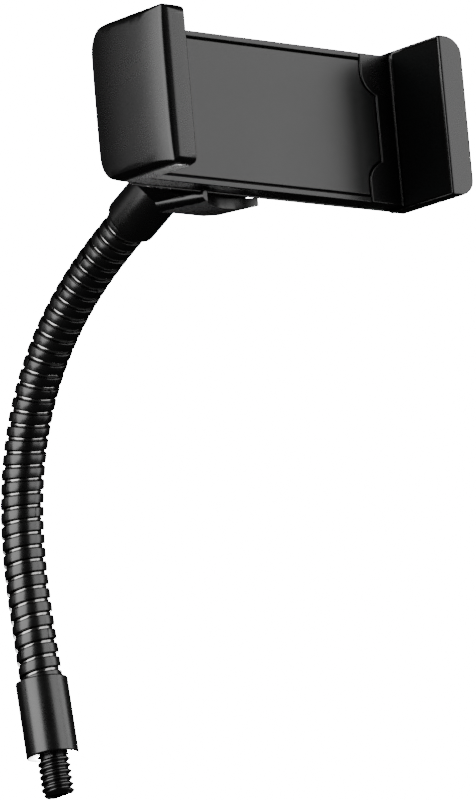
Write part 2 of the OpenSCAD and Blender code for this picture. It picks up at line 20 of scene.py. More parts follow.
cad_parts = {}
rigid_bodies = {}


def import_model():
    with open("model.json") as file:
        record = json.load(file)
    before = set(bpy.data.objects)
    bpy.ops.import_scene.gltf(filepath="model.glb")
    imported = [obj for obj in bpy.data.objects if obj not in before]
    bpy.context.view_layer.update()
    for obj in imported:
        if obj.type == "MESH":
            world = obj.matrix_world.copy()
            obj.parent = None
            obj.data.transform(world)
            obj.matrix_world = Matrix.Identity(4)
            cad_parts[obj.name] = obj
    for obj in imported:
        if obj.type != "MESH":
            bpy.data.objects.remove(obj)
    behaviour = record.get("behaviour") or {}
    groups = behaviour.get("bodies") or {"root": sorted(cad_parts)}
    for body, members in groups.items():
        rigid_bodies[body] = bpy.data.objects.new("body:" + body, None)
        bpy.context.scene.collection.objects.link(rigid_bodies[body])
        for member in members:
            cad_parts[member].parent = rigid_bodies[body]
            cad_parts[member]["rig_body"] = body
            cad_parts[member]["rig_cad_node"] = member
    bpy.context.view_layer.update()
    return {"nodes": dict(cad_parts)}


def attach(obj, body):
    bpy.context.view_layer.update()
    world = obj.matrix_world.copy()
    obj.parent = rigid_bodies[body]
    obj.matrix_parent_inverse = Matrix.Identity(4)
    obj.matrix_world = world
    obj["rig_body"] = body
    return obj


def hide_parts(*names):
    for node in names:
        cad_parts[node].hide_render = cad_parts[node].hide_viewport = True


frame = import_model()

MM = 0.001

log = logging.getLogger("phone_clamp")


class Slot(Enum):
    """The record's material slots."""

    BLACK_STEEL = "black_steel"
    SPRING_STEEL = "spring_steel"
    BALL_STEEL = "ball_steel"
    SCREW_STEEL = "screw_steel"
    BLACK_PLASTIC = "black_plastic"
    PANEL_PLASTIC = "panel_plastic"
    PAD_RUBBER = "pad_rubber"


class Value:
    """A shader socket on which Python's operators build Math nodes."""

    def __init__(self, graph: "Graph", socket: bpy.types.NodeSocket) -> None:
        """Keeps the socket and the graph that it belongs to.

        Args:
            graph: The graph that new nodes go into.
            socket: The output socket that holds the value.
        """
        self.graph = graph
        self.socket = socket

    def maths(self, operation: str, first: "Value | float", second: "Value | float" = 0.0) -> "Value":
        """Adds one Math node.

        Args:
            operation: The Math node's operation.
            first: The first operand.
            second: The second operand.

        Returns:
            The node's result.
        """
        node = self.graph.node("ShaderNodeMath", {"operation": operation}, {0: first, 1: second})
        return Value(self.graph, node.outputs[0])

    def __add__(self, other: "Value | float") -> "Value":
        """Returns self + other."""
        return self.maths("ADD", self, other)

    def __mul__(self, other: "Value | float") -> "Value":
        """Returns self * other."""
        return self.maths("MULTIPLY", self, other)


class Graph:
    """The node tree of one material or of the world."""

    def __init__(self, tree: bpy.types.NodeTree) -> None:
        """Empties the tree.

        Args:
            tree: The tree that is to be filled.
        """
        self.tree = tree
        tree.nodes.clear()

    def node(self, kind: str, settings: dict | None = None, inputs: dict | None = None) -> bpy.types.Node:
        """Adds a node, sets its properties and then its inputs.

        Args:
            kind: The node's type name.
            settings: Properties that are set first.
            inputs: Values, Value objects or sockets, by input name or number.

        Returns:
            The new node.
        """
        node = self.tree.nodes.new(kind)
        for name, setting in (settings or {}).items():
            setattr(node, name, setting)
        for key, given in (inputs or {}).items():
            socket = node.inputs[key]
            source = given.socket if isinstance(given, Value) else given
            if isinstance(source, bpy.types.NodeSocket):
                self.tree.links.new(source, socket)
            else:
                socket.default_value = source
        return node

    def noise(self, size: float, detail: float = 2.0) -> Value:
        """Noise in Object coordinates.

        Args:
            size: The size of a grain, in metres.
            detail: The number of finer octaves.

        Returns:
            The noise, from 0 to 1.
        """
        place = self.node("ShaderNodeTexCoord").outputs["Object"]
        node = self.node("ShaderNodeTexNoise", None, {"Vector": place, "Scale": 1.0 / size, "Detail": detail})
        return Value(self, node.outputs["Fac"])

    def blend(self, share: Value, first: Sequence[float], second: Sequence[float]) -> bpy.types.NodeSocket:
        """Returns a colour between first and second."""
        node = self.node("ShaderNodeMix", {"data_type": "RGBA"}, {"Factor": share, 6: first, 7: second})
        return node.outputs[2]

    def bump(self, height: Value, distance: float, strength: float) -> bpy.types.NodeSocket:
        """Returns a normal that follows height, which counts as the given distance."""
        node = self.node("ShaderNodeBump", None,
                         {"Height": height, "Distance": distance, "Strength": strength})
        return node.outputs["Normal"]


def rgba(grey: float, warmth: float = 0.0) -> tuple[float, float, float, float]:
    """Returns a near-neutral colour; a negative warmth makes it cooler."""
    return (grey * (1.0 + warmth), grey, grey * (1.0 - warmth), 1.0)


@dataclass(frozen=True)
class Finish:
    """What all the finishes share: a name and one Principled surface."""

    name: str
    grey: float = 0.01
    roughness: float = 0.35
    specular: float = 0.5
    metallic: float = 0.0

    def textures(self, graph: Graph) -> dict:
        """Returns the inputs that vary over the surface.

        Args:
            graph: The material's graph.

        Returns:
            Principled inputs by name.
        """
        return {"Base Color": rgba(self.grey)}

    def build(self) -> bpy.types.Material:
        """Returns the finished material."""
        material = bpy.data.materials.new(self.name)
        material.use_nodes = True
        graph = Graph(material.node_tree)
        inputs = {"Roughness": self.roughness, "Specular IOR Level": self.specular,
                  "Metallic": self.metallic}
        inputs.update(self.textures(graph))
        surface = graph.node("ShaderNodeBsdfPrincipled", None, inputs)
        graph.node("ShaderNodeOutputMaterial", None, {"Surface": surface.outputs["BSDF"]})
        return material


@dataclass(frozen=True)
class MouldedPlastic(Finish):
    """Injection-moulded black plastic with a fine spark-eroded grain and slow gloss changes."""

    grain: float = 0.16 * MM
    grain_depth: float = 0.004 * MM
    patch: float = 9.0 * MM
    patch_change: float = 0.07
    grain_change: float = 0.04

    def textures(self, graph: Graph) -> dict:
        """Returns the grain, the gloss and the tone.

        Args:
            graph: The material's graph.

        Returns:
            Principled inputs by name.
        """
        grain = graph.noise(self.grain, 2.0)
        patches = graph.noise(self.patch, 3.0)
        middle = self.roughness - (self.patch_change + self.grain_change) / 2
        roughness = patches * self.patch_change + grain * self.grain_change + middle
        tone = graph.blend(patches, rgba(self.grey * 0.82, -0.02), rgba(self.grey * 1.18, 0.01))
        return {"Base Color": tone, "Roughness": roughness,
                "Normal": graph.bump(grain, self.grain_depth, 0.6)}


@dataclass(frozen=True)
class CoatedSteel(Finish):
    """Steel under a satin black coating with a fine grain."""

    grain: float = 0.25 * MM
    grain_depth: float = 0.003 * MM
    patch: float = 5.0 * MM
    patch_change: float = 0.10
    grain_change: float = 0.06

    def textures(self, graph: Graph) -> dict:
        """Returns the grain, the gloss and the tone.

        Args:
            graph: The material's graph.

        Returns:
            Principled inputs by name.
        """
        grain = graph.noise(self.grain, 3.0)
        patches = graph.noise(self.patch, 4.0)
        middle = self.roughness - (self.patch_change + self.grain_change) / 2
        roughness = patches * self.patch_change + grain * self.grain_change + middle
        tone = graph.blend(patches, rgba(self.grey * 0.7), rgba(self.grey * 1.3, 0.02))
        return {"Base Color": tone, "Roughness": roughness,
                "Normal": graph.bump(grain, self.grain_depth, 0.5)}


@dataclass(frozen=True)
class SoftRubber(Finish):
    """Matt rubber with a fine open grain."""

    grain: float = 0.3 * MM
    grain_depth: float = 0.01 * MM
    grain_change: float = 0.1

    def textures(self, graph: Graph) -> dict:
        """Returns the grain and the tone.

        Args:
            graph: The material's graph.

        Returns:
            Principled inputs by name.
        """
        grain = graph.noise(self.grain, 3.0)
        tone = graph.blend(grain, rgba(self.grey * 0.8), rgba(self.grey * 1.2))
        roughness = grain * self.grain_change + (self.roughness - self.grain_change / 2)
        return {"Base Color": tone, "Roughness": roughness,
                "Normal": graph.bump(grain, self.grain_depth, 0.5)}


class Palette:
    """Every finish of the object, built once."""

    def __init__(self) -> None:
        """Builds the materials."""
        self.materials = {
            Slot.BLACK_PLASTIC: MouldedPlastic("moulded_black", grey=0.0015, roughness=0.27).build(),
            Slot.PANEL_PLASTIC: MouldedPlastic("moulded_panel", grey=0.002, roughness=0.31).build(),
            Slot.PAD_RUBBER: SoftRubber("soft_pad", grey=0.001, roughness=0.6, specular=0.1).build(),
            Slot.BLACK_STEEL: CoatedSteel("blackened_steel", grey=0.002, roughness=0.28,
                                          specular=0.7).build(),
            Slot.SPRING_STEEL: CoatedSteel("bright_wire", grey=0.3, roughness=0.2, metallic=1.0).build(),
            Slot.BALL_STEEL: CoatedSteel("polished_ball", grey=0.02, roughness=0.2, specular=0.8).build(),
            Slot.SCREW_STEEL: CoatedSteel("dark_screws", grey=0.03, roughness=0.3, specular=0.8).build(),
        }

    def dress(self, piece: bpy.types.Object, slot: Slot) -> None:
        """Gives a piece its finish.

        Args:
            piece: The mesh object.
            slot: The record's slot that it takes.
        """
        piece.data.materials.clear()
        piece.data.materials.append(self.materials[slot])


def only(piece: bpy.types.Object) -> None:
    """Makes a piece the one selected and active object, in object mode."""
    if bpy.context.mode != "OBJECT":
        bpy.ops.object.mode_set(mode="OBJECT")
    bpy.ops.object.select_all(action="DESELECT")
    piece.select_set(True)
    bpy.context.view_layer.objects.active = piece


def finish_with(piece: bpy.types.Object, kind: str, **settings: object) -> None:
    """Adds a modifier and applies it.

    Args:
        piece: The mesh object.
        kind: The modifier's type.
        **settings: Its properties.
    """
    only(piece)
    modifier = piece.modifiers.new(kind.lower(), kind)
    for name, setting in settings.items():
        setattr(modifier, name, setting)
    bpy.ops.object.modifier_apply(modifier=modifier.name)


def smooth(piece: bpy.types.Object, degrees: float = 35.0) -> None:
    """Shades a piece smooth, apart from edges sharper than the given angle."""
    only(piece)
    bpy.ops.object.shade_smooth_by_angle(angle=math.radians(degrees))


def tidy_normals(piece: bpy.types.Object, gap: float = 0.0005 * MM) -> None:
    """Merges doubles and turns the faces of a closed piece outwards."""
    only(piece)
    bpy.ops.object.mode_set(mode="EDIT")
    bpy.ops.mesh.select_all(action="SELECT")
    bpy.ops.mesh.remove_doubles(threshold=gap)
    bpy.ops.mesh.normals_make_consistent(inside=False)
    bpy.ops.object.mode_set(mode="OBJECT")


def place(piece: bpy.types.Object, matrix: Matrix) -> None:
    """Moves a piece's mesh, and leaves its object at the origin."""
    piece.data.transform(matrix)
    piece.data.update()


def outline_object(name: str, points: Iterable[tuple[float, float]], closed: bool) -> bpy.types.Object:
    """A profile in the XZ plane, grown from one vertex by extrusion.

    Args:
        name: The piece's name.
        points: Its points, as distance from the axis and height, in metres.
        closed: Whether the last point joins the first.

    Returns:
        The new object, with edges only.
    """
    points = list(points)
    bpy.ops.object.select_all(action="DESELECT")
    bpy.ops.mesh.primitive_plane_add(size=1.0)
    piece = bpy.context.object
    piece.name = name
    bpy.ops.object.mode_set(mode="EDIT")
    bpy.ops.mesh.select_mode(type="VERT")
    bpy.ops.mesh.select_all(action="SELECT")
    bpy.ops.mesh.merge(type="CENTER")
    bpy.ops.transform.translate(value=(points[0][0], 0.0, points[0][1]))
    for (r0, z0), (r1, z1) in zip(points, points[1:]):
        bpy.ops.mesh.extrude_region_move(TRANSFORM_OT_translate={"value": (r1 - r0, 0.0, z1 - z0)})
    if closed:
        bpy.ops.mesh.select_all(action="SELECT")
        bpy.ops.mesh.edge_face_add()
        bpy.ops.mesh.delete(type="ONLY_FACE")
    bpy.ops.object.mode_set(mode="OBJECT")
    return piece


def spun(name: str, points: Iterable[tuple[float, float]], steps: int = 96) -> bpy.types.Object:
    """A turned piece: a profile spun once round the Z axis.

    Args:
        name: The piece's name.
        points: The profile, from axis to axis or as a closed ring, as distance from the axis and height.
        steps: The number of steps in the turn.

    Returns:
        The new closed object, standing on the Z axis.
    """
    points = list(points)
    closed = points[0] == points[-1]
    piece = outline_object(name, points[:-1] if closed else points, closed)
    bpy.ops.object.mode_set(mode="EDIT")
    bpy.ops.mesh.select_all(action="SELECT")
    bpy.ops.mesh.spin(steps=steps, angle=2 * math.pi, center=(0, 0, 0), axis=(0, 0, 1))
    bpy.ops.object.mode_set(mode="OBJECT")
    tidy_normals(piece)
    return piece


def rounded(corners: Sequence[tuple[float, float, float]], steps: int = 5) -> list[tuple[float, float]]:
    """A profile whose corners are rounded by arcs.

    Args:
        corners: Points with the radius of each, which is 0 for a sharp corner.
        steps: The number of steps in each arc.

    Returns:
        The profile's points.
    """
    made: list[tuple[float, float]] = []
    for index, (x, y, radius) in enumerate(corners):
        if radius <= 0 or index in (0, len(corners) - 1):
            made.append((x, y))
            continue
        here = Vector((x, y))
        before = (Vector(corners[index - 1][:2]) - here).normalized()
        after = (Vector(corners[index + 1][:2]) - here).normalized()
        half = before.angle(after) / 2
        reach = radius / math.tan(half)
        centre = here + (before + after).normalized() * (radius / math.sin(half))
        start = here + before * reach - centre
        turn = start.angle_signed(here + after * reach - centre)
        for step in range(steps + 1):
            spoke = start.copy()
            spoke.rotate(Matrix.Rotation(-turn * step / steps, 2))
            made.append(tuple(centre + spoke))
    return made


@dataclass(frozen=True)
class ArmLine:
    """The centre line of the flexible arm, bent in the XZ plane."""

    length: float = 100.2 * MM
    start: float = 15.26 * MM
    bend: float = math.radians(69.34)
    straight: float = 0.116
    even: float = 0.256
    steps: int = 960
    points: list[Vector] = field(default_factory=list)

    def __post_init__(self) -> None:
        """Works out the points of the line by small steps."""
        step = self.length / self.steps
        point = Vector((0.0, 0.0, self.start))
        self.points.append(point)
        for index in range(self.steps):
            point = point + step * self.heading((index + 0.5) * step)
            self.points.append(point)

    def angle(self, s: float) -> float:
        """Returns the lean from upright at the distance s along the arm, in radians."""
        share = min(max((s / self.length - self.straight) / (1 - self.straight), 0.0), 1.0)
        return self.bend * ((1 - self.even) * share * share * (3 - 2 * share) + self.even * share)

    def heading(self, s: float) -> Vector:
        """Returns the direction of the arm at the distance s."""
        lean = self.angle(s)
        return Vector((math.sin(lean), 0.0, math.cos(lean)))

    def outward(self, s: float) -> Vector:
        """Returns the direction in the plane of the bend, square to the arm."""
        lean = self.angle(s)
        return Vector((math.cos(lean), 0.0, -math.sin(lean)))

    def point(self, s: float) -> Vector:
        """Returns the point at the distance s, also beyond both ends of the arm."""
        if s <= 0.0:
            return self.points[0] + s * self.heading(0.0)
        if s >= self.length:
            return self.points[-1] + (s - self.length) * self.heading(self.length)
        step = self.length / self.steps
        index = int(s / step)
        return self.points[index].lerp(self.points[index + 1], s / step - index)

    def wrap(self, piece: bpy.types.Object) -> None:
        """Bends a piece that was made along the Z axis, with Z as the distance along the arm."""
        for vertex in piece.data.vertices:
            x, y, s = vertex.co
            vertex.co = self.point(s) + x * self.outward(s) + Vector((0.0, y, 0.0))
        piece.data.update()

    def end_matrix(self) -> Matrix:
        """Returns the frame at the arm's upper end, with Z along the arm."""
        return Matrix.Translation(self.points[-1]) @ Matrix.Rotation(self.bend, 4, "Y")


@dataclass
class FlexibleArm:
    """The two wires of the arm, cut into one rigid piece for each link."""

    line: ArmLine
    palette: Palette
    links: int = 24
    turns: int = 36
    crest: float = 4.25 * MM
    band: float = 1.9 * MM
    depth: float = 1.0 * MM
    crown: float = 0.05 * MM
    edge: float = 0.14 * MM
    core_radius: float = 3.05 * MM
    core_wire: float = 0.72 * MM
    foot: float = 3.45 * MM
    core_foot: float = 3.7 * MM
    band_steps: int = 72
    core_steps: int = 48
    swing: float = math.radians(14.0)  # a little more than any joint turns
    play: float = 0.03 * MM

    @property
    def pitch(self) -> float:
        """The distance between neighbouring turns."""
        return self.line.length / self.turns

    @property
    def link(self) -> float:
        """The length of one link."""
        return self.line.length / self.links

    def band_profile(self) -> bpy.types.Object:
        """Returns the flat band's section as a closed outline."""
        half, top = self.band / 2, self.crest
        corners = [(top - self.depth, 0.0, 0.0), (top - self.depth, half, 0.0),
                   (top - self.crown, half, self.edge), (top, 0.0, 2.2 * self.band),
                   (top - self.crown, -half, self.edge), (top - self.depth, -half, 0.0),
                   (top - self.depth, 0.0, 0.0)]
        return outline_object("band_profile", rounded(corners)[:-1], True)

    def core_profile(self) -> bpy.types.Object:
        """Returns the round wire's section as a closed outline."""
        count = 12
        points = [(self.core_radius + self.core_wire * math.cos(2 * math.pi * i / count),
                   self.core_wire * math.sin(2 * math.pi * i / count)) for i in range(count)]
        return outline_object("core_profile", points, True)

    def wound(self, profile: bpy.types.Object, name: str, low: float, high: float, steps: int,
              shift: float) -> bpy.types.Object:
        """One stretch of wire, wound straight and then bent along the arm.

        Args:
            profile: The wire's section.
            name: The piece's name.
            low: Where it starts, as a distance along the arm.
            high: Where it ends.
            steps: Steps in each turn.
            shift: How far the whole winding is moved along the arm.

        Returns:
            The finished closed piece.
        """
        piece = profile.copy()
        piece.data = profile.data.copy()
        piece.name = name
        bpy.context.scene.collection.objects.link(piece)
        turns = (high - low) / self.pitch
        count = max(round(turns * steps), 6)
        finish_with(piece, "SCREW", angle=2 * math.pi * turns, screw_offset=high - low, axis="Z",
                    steps=count, render_steps=count, use_normal_calculate=False, use_smooth_shade=True)
        self.relieve(piece, low, high, len(profile.data.vertices))
        only(piece)
        bpy.ops.object.mode_set(mode="EDIT")
        bpy.ops.mesh.select_all(action="DESELECT")
        bpy.ops.mesh.select_mode(type="EDGE")
        bpy.ops.mesh.select_non_manifold()
        bpy.ops.mesh.edge_face_add()
        bpy.ops.object.mode_set(mode="OBJECT")
        phase = 2 * math.pi * (low - shift) / self.pitch
        place(piece, Matrix.Translation((0, 0, low)) @ Matrix.Rotation(phase, 4, "Z"))
        self.line.wrap(piece)
        tidy_normals(piece, 0.0001 * MM)
        smooth(piece, 50.0)
        return piece

    def relieve(self, piece: bpy.types.Object, low: float, high: float, count: int) -> None:
        """Slants both ends of a straight stretch, so that they clear their neighbours when a joint turns.

        Args:
            piece: The stretch, which starts at height 0.
            low: Where it starts along the arm.
            high: Where it ends.
            count: The number of points in its section.
        """
        points = piece.data.vertices
        for way, end, ring in ((1, low, points[:count]), (-1, high, points[-count:])):
            joint = round(end / self.link) * self.link - low
            for point in ring:
                gap = way * (abs(point.co.z - joint) * math.tan(self.swing / 2) + self.play)
                point.co = Matrix.Rotation(gap / point.co.xy.length, 3, "Z") @ point.co

    def hang(self, piece: bpy.types.Object, index: int, replaced: Sequence[str], slot: Slot) -> None:
        """Dresses a piece and fastens it to its link.

        Args:
            piece: The finished piece.
            index: The number of the link, from 0 at the foot.
            replaced: The CAD nodes that it stands for.
            slot: The finish.
        """
        self.palette.dress(piece, slot)
        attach(piece, "root" if index == 0 else "head" if index == self.links else f"link_{index:02d}")
        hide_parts(*replaced)

    def cut(self, index: int) -> float:
        """Where the wires are cut at a joint: where the winding crosses the axis that the joint turns on.

        Args:
            index: The number of the joint, from 0; every third one bends the arm sideways.

        Returns:
            The distance along the arm.
        """
        return index * self.link + (0.0 if index % 3 == 2 else self.pitch / 4)

    def build(self) -> None:
        """Winds both wires, one rigid piece of each for every link."""
        band, core = self.band_profile(), self.core_profile()
        for index in range(self.links + 1):
            first, last = index == 0, index == self.links
            low = 0.0 if first else self.cut(index - 1)
            high = self.line.length if last else self.cut(index)
            outer = self.wound(band, f"outer_band_{index:02d}", low - self.foot * first,
                               high + self.foot * last, self.band_steps, 0.0)
            stood = ["winding_foot"] if first else [f"winding_{index:02d}"]
            if last:
                stood.append("winding_head")
            self.hang(outer, index, stood, Slot.BLACK_STEEL)
            inner = self.wound(core, f"inner_wire_{index:02d}", low - self.core_foot * first,
                               high + self.core_foot * last, self.core_steps, self.pitch / 2)
            self.hang(inner, index, ["inner_coil"], Slot.SPRING_STEEL)
        for profile in (band, core):
            bpy.data.objects.remove(profile)
        log.info("arm: %d stretches of band and of round wire", self.links + 1)


@dataclass
class TurnedParts:
    """The sleeve, the collar and the stud, turned from bar."""

    line: ArmLine
    palette: Palette
    sleeve_r: float = 5.15 * MM
    sleeve_len: float = 15.26 * MM
    collar_r: float = 5.2 * MM
    collar_len: float = 13.0 * MM
    nose: float = 1.5 * MM
    bore_r: float = 4.35 * MM
    seat: float = 4.5 * MM
    foot_r: float = 2.55 * MM
    foot_len: float = 6.2 * MM
    shank_r: float = 3.02 * MM
    shank_len: float = 7.0 * MM
    rim: float = 0.35 * MM
    stud_r: float = 3.175 * MM
    stud_root: float = 2.6 * MM
    stud_len: float = 8.0 * MM
    stud_tip: float = 0.6 * MM
    thread_pitch: float = 1.27 * MM
    relief: float = 0.7 * MM

    def build(self) -> None:
        """Makes the three parts."""
        self.sleeve()
        self.collar()
        self.stud()
        log.info("turned parts: sleeve, collar and threaded stud")

    def hold(self, piece: bpy.types.Object, body: str, node: str) -> None:
        """Dresses a turned part and fastens it to its body in place of its node."""
        self.palette.dress(piece, Slot.BLACK_STEEL)
        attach(piece, body)
        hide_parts(node)

    def sleeve(self) -> None:
        """Makes the lower sleeve."""
        r, top, seat = self.sleeve_r, self.sleeve_len, self.sleeve_len - self.seat
        piece = spun("sleeve", rounded([
            (self.shank_r, 0.0, 0.0), (r, 0.0, self.rim), (r, top, self.rim), (self.bore_r, top, 0.15 * MM),
            (self.bore_r, seat, 0.0), (0.0, seat, 0.0)]) + [(0.0, self.shank_len),
            (self.shank_r, self.shank_len), (self.shank_r, 0.0)])
        smooth(piece)
        self.hold(piece, "root", "lower_sleeve")

    def collar(self) -> None:
        """Makes the upper collar, which the ball stud turns in."""
        r, top = self.collar_r, self.collar_len
        piece = spun("collar", rounded([
            (self.bore_r, 0.0, 0.0), (r, 0.0, 0.7 * MM), (r, top - self.nose, 0.5 * MM),
            (r - self.nose, top, 0.3 * MM), (self.foot_r, top, 0.1 * MM),
            (self.foot_r, top - self.foot_len, 0.0), (0.0, top - self.foot_len, 0.0)])
            + [(0.0, self.seat), (self.bore_r, self.seat), (self.bore_r, 0.0)])
        place(piece, self.line.end_matrix())
        smooth(piece)
        self.hold(piece, "head", "upper_collar")

    def stud(self) -> None:
        """Makes the stud: a zigzag profile wound up by one pitch, cut flat and turned down to its outline."""
        p, root, crest = self.thread_pitch, self.stud_root, self.stud_r
        count = math.ceil((self.stud_len + self.shank_len) / p) + 3
        start = -self.stud_len - 2 * p
        profile = [(r, start + (turn + share) * p) for turn in range(count)
                   for share, r in ((0.0, root), (0.06, root), (0.42, crest), (0.58, crest), (0.94, root))]
        piece = outline_object("threaded_stud", profile, False)
        finish_with(piece, "SCREW", angle=2 * math.pi, screw_offset=p, axis="Z", steps=72,
                    render_steps=72, use_normal_calculate=False)
        only(piece)
        bpy.ops.object.mode_set(mode="EDIT")
        bpy.ops.mesh.select_all(action="SELECT")
        bpy.ops.mesh.remove_doubles(threshold=0.002 * MM)
        for height, below in ((-self.stud_len, True), (self.shank_len - 0.1 * MM, False)):
            bpy.ops.mesh.select_all(action="SELECT")
            bpy.ops.mesh.bisect(plane_co=(0, 0, height), plane_no=(0, 0, 1), use_fill=True,
                                clear_inner=below, clear_outer=not below)
        bpy.ops.object.mode_set(mode="OBJECT")
        for vertex in piece.data.vertices:
            x, y, z = vertex.co
            most = min(crest - self.stud_tip + (z + self.stud_len), crest)
            if z > -self.relief:
                most = min(most, max(root, root - (z + self.relief) * 0.5 + 0.1 * MM))
            if z > 0.0:
                most = self.shank_r - 0.01 * MM
            reach = math.hypot(x, y)
            if reach > most:
                vertex.co = (x * most / reach, y * most / reach, z)
        tidy_normals(piece, 0.0005 * MM)
        smooth(piece, 40.0)
        self.hold(piece, "root", "stud")


@dataclass(frozen=True)
class Moulding:
    """How one rigid piece of the clamp is softened."""

    node: str
    body: str
    slot: Slot
    radius: float
    slack: float = 0.45  # how far a rounded point may lie inside the solid, as a share of the radius


@dataclass
class ClampMouldings:
    """The clamp's rigid pieces: copies of their solids with every edge softened."""

    palette: Palette
    jaw_inside: float = -20.1 * MM
    jaw_outside: float = -26.4 * MM
    bulge: float = 0.5 * MM
    nod: float = math.radians(6.24)
    bands: tuple[float, ...] = (-0.92, -0.8, -0.6, -0.3, 0.3, 0.6, 0.8, 0.92)
    sharp: float = math.radians(40.0)
    mouldings: tuple[Moulding, ...] = (
        Moulding("body_shell", "clamp", Slot.BLACK_PLASTIC, 0.22 * MM),
        Moulding("slider", "sliding_jaw", Slot.BLACK_PLASTIC, 0.3 * MM, 1.35),
        Moulding("socket_block", "clamp", Slot.BLACK_PLASTIC, 0.2 * MM),
        Moulding("front_panel", "clamp", Slot.PANEL_PLASTIC, 0.3 * MM),
        Moulding("fixed_jaw_pad", "clamp", Slot.PAD_RUBBER, 0.1 * MM),
        Moulding("sliding_jaw_pad", "sliding_jaw", Slot.PAD_RUBBER, 0.1 * MM),
        Moulding("retainer_ring", "clamp", Slot.BLACK_STEEL, 0.12 * MM),
        Moulding("ring_screws", "clamp", Slot.SCREW_STEEL, 0.1 * MM),
        Moulding("panel_screws", "clamp", Slot.SCREW_STEEL, 0.1 * MM),
        Moulding("block_screws", "clamp", Slot.SCREW_STEEL, 0.1 * MM),
    )

    def copied(self, node: str, radius: float) -> bpy.types.Object:
        """A free copy of a solid with its flat faces joined and its tiniest edges closed."""
        source = frame["nodes"][node]
        piece = source.copy()
        piece.data = source.data.copy()
        piece.parent = None
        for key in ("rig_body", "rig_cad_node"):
            if key in piece:
                del piece[key]
        piece.name = f"soft_{node}"
        bpy.context.scene.collection.objects.link(piece)
        only(piece)
        bpy.ops.object.mode_set(mode="EDIT")
        bpy.ops.mesh.select_all(action="SELECT")
        bpy.ops.mesh.remove_doubles(threshold=0.001 * MM)
        bpy.ops.mesh.dissolve_limited(angle_limit=math.radians(1.0))
        bpy.ops.mesh.remove_doubles(threshold=min(0.085 * MM, 0.45 * radius))
        bpy.ops.object.mode_set(mode="OBJECT")
        return piece

    def softened(self, moulding: Moulding) -> bpy.types.Object:
        """A copy of a solid with its edges rounded.

        Args:
            moulding: The piece and its roundings.

        Returns:
            The new piece.
        """
        source = frame["nodes"][moulding.node]
        piece = self.copied(moulding.node, moulding.radius)
        if moulding.node == "body_shell":
            self.cut_jaw(piece)
        finish_with(piece, "BEVEL", width=moulding.radius, segments=4, limit_method="ANGLE",
                    angle_limit=self.sharp, harden_normals=False,
                    use_clamp_overlap=moulding.node == "socket_block")
        self.pull_in(piece, source, moulding.slack * moulding.radius)
        if moulding.node == "body_shell":
            self.bulge_jaw(piece)
        smooth(piece, 32.0)
        finish_with(piece, "WEIGHTED_NORMAL", keep_sharp=True, weight=80)
        return piece

    def rise(self, point: Vector) -> float:
        """Returns a point's height measured square to the clamp's length."""
        return point.x * math.sin(self.nod) + point.z * math.cos(self.nod)

    def jaw_span(self, piece: bpy.types.Object) -> tuple[float, float]:
        """Returns the middle and the half height of the fixed jaw."""
        heights = [self.rise(v.co) for v in piece.data.vertices if v.co.y < self.jaw_inside - 1.0 * MM]
        return (max(heights) + min(heights)) / 2, (max(heights) - min(heights)) / 2

    def cut_jaw(self, piece: bpy.types.Object) -> None:
        """Cuts the fixed jaw's outer face into bands, so that it can bulge."""
        middle, half = self.jaw_span(piece)
        normal = Vector((math.sin(self.nod), 0.0, math.cos(self.nod)))
        for share in self.bands:
            only(piece)
            for item in (*piece.data.vertices, *piece.data.edges, *piece.data.polygons):
                item.select = False
            for face in piece.data.polygons:
                face.select = face.center.y < self.jaw_outside + 1.2 * MM and face.normal.y < -0.7
            bpy.ops.object.mode_set(mode="EDIT")
            bpy.ops.mesh.select_mode(type="FACE")
            bpy.ops.mesh.bisect(plane_co=normal * (middle + share * half), plane_no=normal)
            bpy.ops.object.mode_set(mode="OBJECT")

    def bulge_jaw(self, piece: bpy.types.Object) -> None:
        """Draws the top and bottom of the fixed jaw's outer face inwards."""
        middle, half = self.jaw_span(piece)
        depth = self.jaw_inside - self.jaw_outside
        for vertex in piece.data.vertices:
            share = min(max((self.jaw_inside - vertex.co.y) / depth, 0.0), 1.0)
            lean = (self.rise(vertex.co) - middle) / half
            vertex.co.y += self.bulge * share * lean ** 4

    def pull_in(self, piece: bpy.types.Object, source: bpy.types.Object, reach: float) -> None:
        """Brings points that the rounding threw off back to the solid's surface.

        Args:
            piece: The rounded copy.
            source: The solid that it was copied from.
            reach: How far a rounded point may lie inside the surface.
        """
        for vertex in piece.data.vertices:
            _, spot, normal, _ = source.closest_point_on_mesh(vertex.co)
            away = vertex.co - spot
            if away.length > reach or away.dot(normal) > 0.02 * MM:
                vertex.co = spot

    def build(self) -> None:
        """Makes every moulding and hangs it on its body."""
        for moulding in self.mouldings:
            piece = self.softened(moulding)
            self.palette.dress(piece, moulding.slot)
            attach(piece, moulding.body)
            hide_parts(moulding.node)
        log.info("clamp: %d softened pieces", len(self.mouldings))


@dataclass
class HiddenParts:
    """The CAD nodes that keep their own meshes."""

    palette: Palette
    nodes: dict[str, Slot] = field(default_factory=lambda: {
        "ball_stud": Slot.BALL_STEEL, "upper_spring": Slot.SPRING_STEEL, "lower_spring": Slot.SPRING_STEEL})

    def build(self) -> None:
        """Dresses each node."""
        for node, slot in self.nodes.items():
            self.palette.dress(frame["nodes"][node], slot)
        log.info("kept solids: %s", ", ".join(self.nodes))


